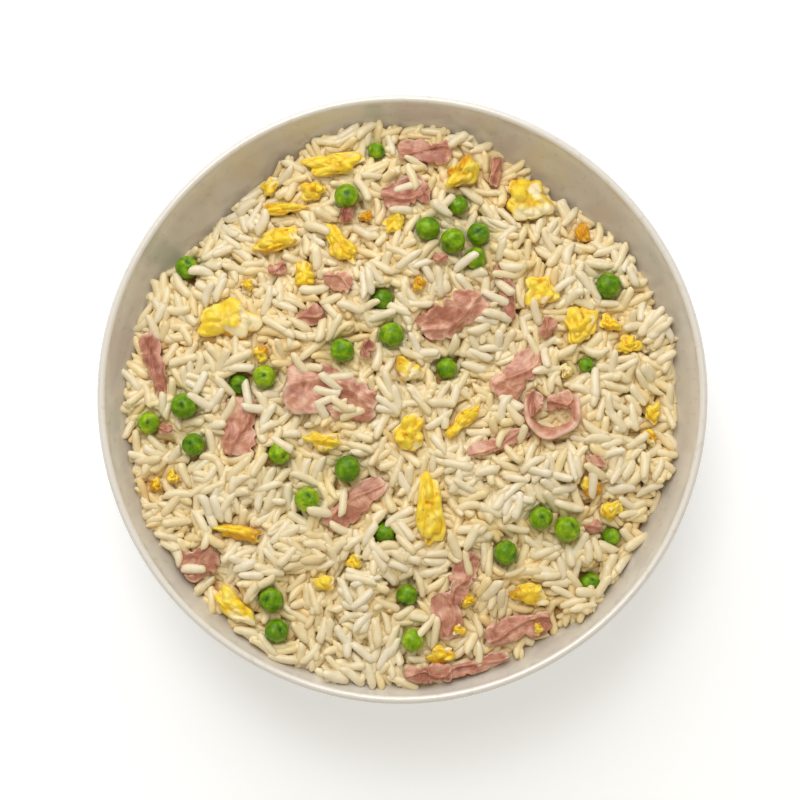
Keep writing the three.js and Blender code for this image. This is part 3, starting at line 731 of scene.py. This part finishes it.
def hamSlice(x, y, length, first, last, turn, wave, seed):
    # a strip whose half width goes straight from end to end, drawn in there, torn and notched by bells
    # at the sides; it ripples as sin(5.5 along + 1.4 across + seed), is creased and folded, and thins
    # to its edges
    across, face, share, fromMiddle, rim = sliceGrid()
    side = np.sign(across)[None]
    torn = 1 + 0.1 * np.sin(9 * share + 2 * side + seed * 1.7)
    torn += 0.13 * softNoise(share * length / 2.6, side * 3.0, 0.0, seed) * np.abs(across)
    torn += 0.06 * softNoise(share * length / 0.9, side * 3.0, 5.0, seed) * np.abs(across) ** 4
    torn -= 0.35 * fromMiddle ** 14 * across ** 2
    draw = np.random.RandomState(300 + seed)
    for notch in range(4):
        place, depth, breadth = draw.uniform(*hamShape["notches"])
        torn -= depth * bell(share - place, breadth) * (side == (-1) ** notch) * across ** 2
    halfWidth = (first + (last - first) * share) / 2 * (1 - 0.3 * fromMiddle ** 5) * torn
    endTear = softNoise(across * halfWidth.mean() / 2.2, np.sign(share - 0.5) * 4, 1.0, seed + 5)
    along = (share - 0.5) * length * (1 - 0.11 * (0.5 + 0.5 * endTear) * fromMiddle ** 3)
    flatX, flatY = placed((x, y), turn, along + 0 * across, across * halfWidth)
    ripple = wave * (0.5 + 0.5 * np.sin(5.5 * share + 1.4 * across + seed))
    creases = hamShape["creases"] * flatNoise(flatX, flatY, 4.0, 0.0, seed + 9)
    foldLine = 0.55 * np.sin(4 * share + 2.3 * seed)
    creases = creases + hamShape["fold"] * bell(across - foldLine, 0.13)
    curl = 0.9 * np.clip(flatNoise(flatX, flatY, 5, 2.0, seed + 2), 0, 1) * rim ** 6
    thin = hamShape["thickness"] / 2 * (1 - 0.72 * rim ** 5)
    fibre = 0.16 * flatNoise(flatX, flatY, 1.6, 7.0, seed + 4) * (face > 0)
    middle = coreHeight(flatX, flatY) + hamShape["rest"] + hamShape["thickness"] / 2 + ripple
    z = middle + creases + curl + face * thin + fibre
    worn = 0.3 + 0.9 * flatNoise(flatX, flatY, 3, 3.0, seed)
    edge = np.clip((rim - 0.8) * 5, 0, 1) * np.clip(worn, 0, 1)
    return sliceSkin(flatX, flatY, z, edge, along, across * halfWidth + seed)


def curlSlice():
    # a strip on its edge, carried round an arc, leaning outward at the top and torn along it
    across, face, share, fromMiddle, rim = sliceGrid()
    angle = np.radians(hamCurl["start"] + (hamCurl["end"] - hamCurl["start"]) * share)
    up = (across[None] + 1) / 2
    tear = 1 - 0.4 * (0.5 + 0.5 * softNoise(share * 11, 0.0, 0.0, 71)) * up
    ends = 1 - 0.45 * fromMiddle ** 7
    thin = hamShape["thickness"] / 2 * (1 - 0.7 * rim ** 4)
    radius = hamCurl["radius"] + hamCurl["lean"] * up + face * thin
    radius = radius + 1.1 * softNoise(share * 7, up * 2, 0.0, 73)
    x = hamCurl["at"][0] + radius * np.cos(angle)
    y = hamCurl["at"][1] + radius * np.sin(angle)
    z = coreHeight(*hamCurl["at"]) + hamShape["rest"] + hamCurl["height"] * up * tear * ends
    edge = np.clip((up + 0 * share - 0.8) * 2.5, 0, 1)
    return sliceSkin(x, y, z, edge, radius * angle, hamCurl["height"] * up + 0 * share)


def makeHams():
    # the slices, the curl and the scraps, which are short slices that lie a little higher
    material = hamMaterial()
    size = (hamShape["rings"], 2 * hamShape["columns"])
    slices = [(hamSlice(*row[:-1], index), row[-1]) for index, row in enumerate(hams)]
    slices.append((curlSlice(), hamCurl["depth"]))
    for index, ((points, fields), depth) in enumerate(slices):
        fields["depth"] = depth
        addTopping("slice_", f"ham_{index + 1:02d}", points, fields, size, material, hamKind)
    scraps = []
    for index, (x, y, across, turn, depth) in enumerate(hamScraps):
        points, fields = hamSlice(x, y, across * 1.3, across * 0.7, across * 0.9, turn, 0.8, 40 + index)
        points[:, 2] += hamShape["scrapRise"]
        scraps.append((points, {**fields, "depth": depth}))
    addScraps("ham_scraps", scraps, size, material, hamKind)


makeHams()
print("ham made")


# Rice.

rice = {
    "length": 9.2,
    "width": 2.95,
    "flat": 0.82,  # height of a grain's section as a share of its width
    "along": (-0.975, -0.86, -0.5, 0.0, 0.5, 0.86, 0.975),  # places of the rings
    "sides": 8,
    "inPiece": 1780,  # grains in one piece, to keep it under 200,000 triangles
    # spreads from grain to grain
    "lengths": 0.11,
    "widths": 0.09,
    "bend": 0.5,
    "taper": 0.09,
    "slant": 0.6,  # how far the ends are cut on the slant
    "uneven": (0.06, 0.05),  # how far its section is drawn out two ways and three
    "blunt": [(3.4, 9.0), (4.2, 13.0)],  # least and most bluntness of the first and the last end
    "press": 1.75,  # how far a soft grain sinks into what it lies on
    "tipping": 0.2,  # spread of its slope
    "round": 0.08,  # share of the lower grains that lie at the edge
    "bundles": 9.0,  # breadth of the bundles in which grains lie alike
    "astray": 0.6,  # how far a grain turns from its bundle, in radians
    "coreInside": 1.5,  # how far inside the heap's edge the core ends
    "coreDrop": 7.0,  # the scattering starts this far under the bare heap
    # mean height over the bare heap at which each layer is full
    "levels": {"relief": -2.4, "low": 1.3, "top": 2.6},
    "edgeBand": 8.0,  # band at the heap's edge that doesn't count in the mean
    "clumps": (3.0, 12.0),  # height and breadth of the clumps of grains
    "dip": (2.6, 3.0),  # how much lower the rice lies round egg and ham, and how far
    "spots": 20,  # places tried for each grain, of which it takes the lowest
    "steepest": 0.8,
    "highest": 51.0,
    "widest": 95.4,
    "overEdge": 2.4,  # how far a grain's end may hang out past the heap's edge
    # chance that a grain may lie on a topping, and on the edge of one
    "onTopping": {peaKind: 0.01, eggKind: 0.02, hamKind: 0.08},
    "onEdge": {peaKind: 0.12, eggKind: 0.2, hamKind: 0.4},
    # each grain's place between the dark and the light colour, lowered as painted shade for deep grains and
    # raised as painted light on their tops; a patch is size, breadth and seed
    "tone": {"least": 0.22, "spread": 0.55, "paintedTopLight": 0.1, "depth": 0.12, "over": 14},
    "patches": [(0.32, 17, 21), (0.28, 7, 22)],
    # painted shade: the lower grains are darker and more amber than the upper ones, as they lie in the
    # shade of those over them
    "shadedLowerColours": [(0.88, 0.64, 0.29), (0.92, 0.77, 0.43), (0.93, 0.83, 0.58)],
    "upperColours": [(0.86, 0.70, 0.40), (0.885, 0.775, 0.51), (0.885, 0.82, 0.64)],
    "core": {"sides": 400, "topRings": 150, "underRings": 16},
    "coreColours": [(0.66, 0.38, 0.13), (0.82, 0.54, 0.22)],
}

# the grid on which the heap's height is kept while grains fall on it
cell = 0.35
gridEnd = 100.0
gridCount = int(2 * gridEnd / cell) + 1
gridLine = -gridEnd + cell * np.arange(gridCount)
gridX, gridY = np.meshgrid(gridLine, gridLine, indexing="ij")
gridCore = coreHeight(gridX, gridY)

# stations along a grain and lanes across it at which it can touch what is under it
stations = np.linspace(-0.46, 0.46, 9)
lanes = np.array([-0.85, -0.45, 0.0, 0.45, 0.85])
middleLane = len(lanes) // 2
laneDrop = np.sqrt(1 - lanes ** 2)


def grainReach(along, bluntness=4.0):
    # share of the half width at a place from -1 to 1: the root of 1 - |place|^bluntness
    return np.sqrt(1 - np.abs(along) ** bluntness)


def cellOf(value):
    # number of the grid line nearest to a place
    return np.clip(np.rint((value + gridEnd) / cell).astype(int), 0, gridCount - 1)


def settle(ground, x, y, heading, length, width):
    # lowest rest of several grains on the ground: height of the middle, slope, and the top line's cells
    s = stations[None] * length[:, None]
    radius = width[:, None] / 2 * grainReach(2 * stations)[None]
    c, d = np.cos(heading)[:, None, None], np.sin(heading)[:, None, None]
    t = lanes[None, None] * radius[..., None]
    cellX = cellOf(x[:, None, None] + s[..., None] * c - t * d)
    cellY = cellOf(y[:, None, None] + s[..., None] * d + t * c)
    need = (ground[cellX, cellY] + rice["flat"] * radius[..., None] * laneDrop).max(2)
    half = len(stations) // 2
    backNeed, frontNeed = need[:, :half, None], need[:, None, half + 1:]
    back, front = s[:, :half, None], s[:, None, half + 1:]
    bridge = ((backNeed * front - frontNeed * back) / (front - back)).max((1, 2))
    middle = np.maximum(bridge, need[:, half])
    least = ((need[:, half + 1:] - middle[:, None]) / s[:, half + 1:]).max(1)
    most = ((need[:, :half] - middle[:, None]) / s[:, :half]).min(1)
    slope = np.where(np.abs(least) < np.abs(most), least, most)
    slope = np.clip(slope, -rice["steepest"], rice["steepest"])
    middle = (need - slope[:, None] * s).max(1) - rice["press"]
    return middle, slope, cellX, cellY, s, radius


def layOnGround(ground, x, y, z, heading, slope, length, width):
    # raise the ground to the top of one grain
    half = length / 2 + 0.5
    low, high = cellOf(np.array([x - half, y - half])), cellOf(np.array([x + half, y + half])) + 1
    part = (slice(low[0], high[0]), slice(low[1], high[1]))
    dx, dy = gridX[part] - x, gridY[part] - y
    s = dx * cos(heading) + dy * sin(heading)
    t = -dx * sin(heading) + dy * cos(heading)
    radius = width / 2 * grainReach(np.clip(2 * s / length, -1, 1))
    top = z + slope * s + rice["flat"] * np.sqrt(np.clip(radius ** 2 - t ** 2, 0, None))
    ground[part] = np.where(np.abs(t) < radius, np.maximum(ground[part], top), ground[part])


def blurred(mask, breadth):
    # spread by a bell of the given breadth, along one axis and then along the other
    steps = np.arange(-int(2 * breadth / cell), int(2 * breadth / cell) + 1)
    weights = bell(steps * cell, breadth)
    for axis in (0, 1):
        mask = sum(w * np.roll(mask, n, axis) for n, w in zip(steps, weights)) / weights.sum()
    return mask


def wishedHeight(kinds):
    # the bare heap and clumps of soft noise on it, dipping beside egg and ham
    height, breadth = rice["clumps"]
    wished = gridCore + height * flatNoise(gridX, gridY, breadth, 0.5, 5)
    if kinds is None:
        return wished
    dip, dipBreadth = rice["dip"]
    return wished - dip * np.minimum(1, 2 * blurred((kinds > peaKind) * 1.0, dipBreadth))


def toppingsUnder(kinds, cellX, cellY):
    # for each spot, how many stations lie over a topping and the chance that a grain may lie so
    under = kinds[cellX[:, :, middleLane], cellY[:, :, middleLane]]
    touched = (under > 0).sum(1)
    chance = [
        1.0 if not count else rice["onEdge" if count < 3 else "onTopping"][kind]
        for count, kind in zip(touched, under.max(1))
    ]
    return touched, chance


def scatter(ground, level, draw, ceiling=None, kinds=None):
    # drop grains one by one until the ground has risen to a mean level over the bare heap;
    # each tries several spots and takes the one that lies lowest under the wished height
    settled = []
    spots = rice["spots"]
    barred = 1e3  # what a spot costs that isn't allowed
    wished = wishedHeight(kinds)
    free = np.hypot(gridX, gridY) < heap["radius"] - rice["edgeBand"]
    if kinds is not None:
        free &= kinds == 0
    while len(settled) % 50 or (ground - gridCore)[free].mean() < level:
        angle = draw.uniform(0, 2 * pi, spots)
        nearest = 0.9 if kinds is None and draw.rand() < rice["round"] else 0.0
        distance = (edgeRadius(angle) - 0.5) * np.sqrt(draw.uniform(nearest, 1, spots))
        x, y = distance * np.cos(angle), distance * np.sin(angle)
        bundle = flatNoise(x, y, rice["bundles"], 2.5, 8)
        heading = 1.5 * pi * bundle + draw.normal(0, rice["astray"], spots)
        length = rice["length"] * np.clip(draw.normal(1.0, rice["lengths"], spots), 0.6, 1.2)
        width = rice["width"] * np.clip(draw.normal(1.0, rice["widths"], spots), 0.8, 1.2)
        z, slope, cellX, cellY, s, radius = settle(ground, x, y, heading, length, width)
        slope = slope + draw.normal(0, rice["tipping"], spots)
        score = z - wished[cellOf(x), cellOf(y)] + draw.uniform(0, 1.0, spots) + 0.8 * np.abs(slope)
        top = z[:, None] + slope[:, None] * s + rice["flat"] * radius
        score += barred * (top.max(1) > rice["highest"])
        endX = x[:, None] + s[:, [0, -1]] * np.cos(heading)[:, None]
        endY = y[:, None] + s[:, [0, -1]] * np.sin(heading)[:, None]
        endRadius = np.hypot(endX, endY)
        outside = endRadius - edgeRadius(np.arctan2(endY, endX))
        tooFar = (outside.max(1) > rice["overEdge"]) | (endRadius.max(1) > rice["widest"])
        score += barred * tooFar
        if ceiling is not None:
            score += barred * (top > ceiling[cellX, cellY].min(2)).any(1)
        if kinds is not None:
            touched, chance = toppingsUnder(kinds, cellX, cellY)
            score = score + barred * (draw.uniform(0, 1, spots) > chance) - 2.5 * (touched > 2)
        best = int(np.argmin(score))
        if score[best] > barred / 2:
            continue
        grain = (x[best], y[best], z[best], heading[best], slope[best], length[best], width[best])
        layOnGround(ground, *grain)
        settled.append(grain)
    return np.array(settled)


def stampMaps():
    # lowest and highest point of the toppings over each cell, and which kind it is
    ceiling = np.full(gridX.shape, 1e3)
    top = np.full(gridX.shape, -1e3)
    kinds = np.zeros(gridX.shape, int)
    for points, kind in stamps:
        for shiftX in (-0.5, 0.5):
            for shiftY in (-0.5, 0.5):
                cells = cellOf(points[:, 0] + shiftX * cell), cellOf(points[:, 1] + shiftY * cell)
                np.minimum.at(ceiling, cells, points[:, 2] - 0.1)
                higher = points[:, 2] > top[cells]
                kinds[cells[0][higher], cells[1][higher]] = kind
                np.maximum.at(top, cells, points[:, 2])
    return ceiling, top, kinds


def grainSkins(grains, draw):
    # each grain is a rod of rings round a line that bends by bend x (0.5 - place^2), tapered, slightly
    # uneven in section and cut on the slant at its ends; also how far each point looks up, from -1 to 1,
    # which paints light on its top and shade underneath
    along = np.array(rice["along"])
    sides = rice["sides"]
    count = len(grains)
    x, y, z, heading, slope, length, width = (grains[:, i, None] for i in range(7))
    flat = 1 / np.sqrt(1 + slope ** 2)
    axis = np.stack([np.cos(heading) * flat, np.sin(heading) * flat, slope * flat], -1)
    across = np.stack([-np.sin(heading), np.cos(heading), 0 * heading], -1)
    lift = np.cross(axis, across)
    bend = draw.normal(0, rice["bend"], (count, 1))
    blunt = np.where(along < 0, *(draw.uniform(*ends, (count, 1)) for ends in rice["blunt"]))
    slant = np.where(along < 0, *(draw.normal(0, rice["slant"], (count, 1)) for _ in rice["blunt"]))
    slant = slant * np.abs(along) ** 4
    roll = draw.uniform(-0.5, 0.5, (count, 1))
    bendAxis = across * np.cos(roll)[..., None] + lift * np.abs(np.sin(roll))[..., None]
    taper = draw.normal(0, rice["taper"], (count, 1))
    places = np.concatenate([[-1], along, [1]])
    line = axis * (length / 2 * places)[..., None] + bendAxis * (bend * (0.5 - places ** 2))[..., None]
    line = line + np.stack([x, y, z], -1)
    turn = np.arange(sides) * 2 * pi / sides + pi / sides
    radius = (width / 2 * grainReach(along, blunt) * (1 + taper * along))[..., None]
    inTwo, inThree = rice["uneven"]
    uneven = 1 + inTwo * np.cos(2 * turn + 6 * roll[..., None])
    radius = radius * (uneven + inThree * np.cos(3 * turn + 9 * taper[..., None]))
    out = across[:, :, None] * (radius * np.cos(turn))[..., None]
    out = out + lift[:, :, None] * (rice["flat"] * radius * np.sin(turn))[..., None]
    out = out + axis[:, :, None] * (slant[..., None] * radius * np.cos(turn))[..., None]
    rings = line[:, 1:-1, None] + out
    points = np.concatenate([line[:, :1], rings.reshape(count, -1, 3), line[:, -1:]], 1)
    # painted light: the top of each grain is lighter and its underside darker
    paintedTopLight = np.concatenate([[0], np.tile(np.sin(turn), len(along)), [0]])
    return points, paintedTopLight


def grainTones(grains, paintedTopLight, draw):
    # least + spread x a random share + painted shade, lighter for grains that lie high and darker for deep
    # ones + patches, and painted light on the faces turned up
    tone = rice["tone"]
    over = grains[:, 2] - coreHeight(grains[:, 0], grains[:, 1])
    # painted shade: grains that lie deep between others are darker, those on top lighter
    paintedDepthShade = np.clip((over - np.median(over)) / tone["over"], -tone["depth"], tone["depth"])
    patch = sum(
        size * flatNoise(grains[:, 0], grains[:, 1], breadth, 0.0, seed)
        for size, breadth, seed in rice["patches"]
    )
    each = tone["least"] + tone["spread"] * draw.beta(2.2, 1.8, len(grains)) + paintedDepthShade + patch
    return np.clip(each[:, None] + tone["paintedTopLight"] * paintedTopLight, 0, 1)


def riceMaterial(name, colours):
    # cream by each grain's tone, which carries painted shade and painted light, with chalky clouds
    material, shader = newMaterial(name, {"Roughness": 0.3})
    cream = ramp(material, field(material, "tone"), (0.0, 0.45, 1.0), colours)
    chalk = [(0.93, 0.89, 0.82), (1.03, 1.03, 1.06)]
    clouded = tinted(material, cream, pattern(material, 260.0), (0.35, 0.65), chalk)
    return finished(material, shader, clouded, pattern(material, 1100.0, 2.0), 0.00012, 0.4)


def coreMaterial():
    # tan, as what shows between the grains is in their shade
    material, shader = newMaterial("rice_underneath", {"Roughness": 0.5})
    tan = ramp(material, pattern(material, 300.0), (0.3, 0.7), rice["coreColours"])
    join(shader.inputs["Base Color"], tan)
    return material


def makeCore(surface):
    # the heap's body: its top carries the relief of packed grains, its underside follows the bowl
    sides, topRings, underRings = rice["core"].values()
    angle = np.arange(sides) * 2 * pi / sides
    edge = edgeRadius(angle) - rice["coreInside"]
    radius = ((np.arange(topRings) + 1) / topRings)[:, None] * edge
    z = surface[cellOf(radius * np.cos(angle)), cellOf(radius * np.sin(angle))]
    z[-1] = wallHeight(edge) + heap["rest"]
    top = around(radius, angle, z)
    radius = np.linspace(1, 0, underRings + 2)[1:-1, None] * edge
    under = around(radius, angle, wallHeight(radius) + 0.5 * heap["rest"])
    points = ringPoints(
        (0, 0, surface[cellOf(0.0), cellOf(0.0)]),
        np.concatenate([top, under]),
        (0, 0, bowl["floorTop"] + 0.5 * heap["rest"]),
    )
    closedMesh("rice_core", points, topRings + underRings, sides, coreMaterial(), "rice", ["rice_heap"])


def makeGrains(name, grains, colours, draw):
    # loose grains, in as many pieces as their number needs
    material = riceMaterial(f"{name}_grain", colours)
    limit = rice["inPiece"]
    for part in range(0, len(grains), limit):
        some = grains[part:part + limit]
        skins, paintedTopLight = grainSkins(some, draw)
        suffix = "" if len(grains) <= limit else f"_{part // limit + 1}"
        closedMesh(
            name + suffix, skins, len(rice["along"]), rice["sides"], material, "rice", ["rice_heap"],
            {"tone": grainTones(some, paintedTopLight, draw)})


def makeRice():
    # grains fall on a low bare heap until it is the core, then round the toppings, then over them
    draw = np.random.RandomState(11)
    levels = rice["levels"]
    gridWall = wallHeight(np.hypot(gridX, gridY)) + heap["rest"]
    ground = np.maximum(gridCore - rice["coreDrop"], gridWall)
    scatter(ground, levels["relief"], draw)
    makeCore(ground)
    print("core of the heap made")
    ceiling, top, kinds = stampMaps()
    lower = scatter(ground, levels["low"], draw, ceiling)
    ground = np.maximum(ground, top)
    upper = scatter(ground, levels["top"], draw, None, kinds)
    print("loose grains:", len(lower), "below and", len(upper), "on top")
    makeGrains("rice_lower", lower, rice["shadedLowerColours"], draw)
    makeGrains("rice_upper", upper, rice["upperColours"], draw)


makeRice()
print("rice made")


# Floor and light, in metres.

floorShape = {"half": 14.0, "colour": (0.89, 0.93, 0.99, 1), "glow": (0.26, 0.85), "glowOver": (0.3, 2.5)}
# place, size and watts of each soft light, all turned to the bowl
lights = {
    "key": {"place": (-0.2, 1.0, 0.96), "size": 1.3, "watts": 9.8},
    "top": {"place": (-0.15, 0.55, 1.45), "size": 0.7, "watts": 4.2},
}
room = {"colour": (1.0, 0.91, 0.74, 1), "strength": 0.51, "middle": (0.0, 0.0, 0.04)}


def floorMaterial():
    # a table lit softly from below, the more so the further from the bowl
    material, shader = newMaterial("pale_floor", {
        "Base Color": floorShape["colour"], "Roughness": 0.8, "Emission Color": (1, 1, 1, 1),
    })
    place = addNode(material, "ShaderNodeTexCoord").outputs["Object"]
    away = addNode(material, "ShaderNodeVectorMath", {"Vector": place}, {"operation": "LENGTH"})
    start, end = floorShape["glowOver"]
    least, most = floorShape["glow"]
    glow = addNode(material, "ShaderNodeMapRange", {
        "Value": away.outputs["Value"], "From Min": start, "From Max": end, "To Min": least, "To Max": most,
    }, {"interpolation_type": "SMOOTHSTEP"})
    join(shader.inputs["Emission Strength"], glow.outputs["Result"])
    return material


def makeFloor():
    # a flat square
    half = floorShape["half"]
    corners = [(-half, -half, 0), (half, -half, 0), (half, half, 0), (-half, half, 0)]
    mesh = bpy.data.meshes.new("floor")
    mesh.from_pydata(corners, [], [(0, 1, 2, 3)])
    mesh.materials.append(floorMaterial())
    newObject("floor", mesh)


def makeLights():
    # soft discs of light
    for name, spec in lights.items():
        data = bpy.data.lights.new(name, "AREA")
        data.shape = "DISK"
        data.size = spec["size"]
        data.energy = spec["watts"]
        light = newObject(name, data)
        light.location = spec["place"]
        toward = Vector(room["middle"]) - Vector(spec["place"])
        light.rotation_euler = toward.to_track_quat("-Z", "Y").to_euler()


def makeRoom():
    # its light is warm, and its wall itself is white
    world = bpy.data.worlds.new("studio")
    world.use_nodes = True
    background = world.node_tree.nodes["Background"]
    background.inputs["Color"].default_value = room["colour"]
    background.inputs["Strength"].default_value = room["strength"]
    wall = addNode(world, "ShaderNodeBackground", {"Color": (1, 1, 1, 1), "Strength": 1.0})
    seen = addNode(world, "ShaderNodeLightPath").outputs["Is Camera Ray"]
    both = addNode(world, "ShaderNodeMixShader", {"Fac": seen})
    join(both.inputs[1], background.outputs[0])
    join(both.inputs[2], wall.outputs[0])
    join(world.node_tree.nodes["World Output"].inputs["Surface"], both.outputs[0])
    scene.world = world
    scene.view_settings.view_transform = "Standard"


makeFloor()
makeLights()
makeRoom()
print("floor and lights made")
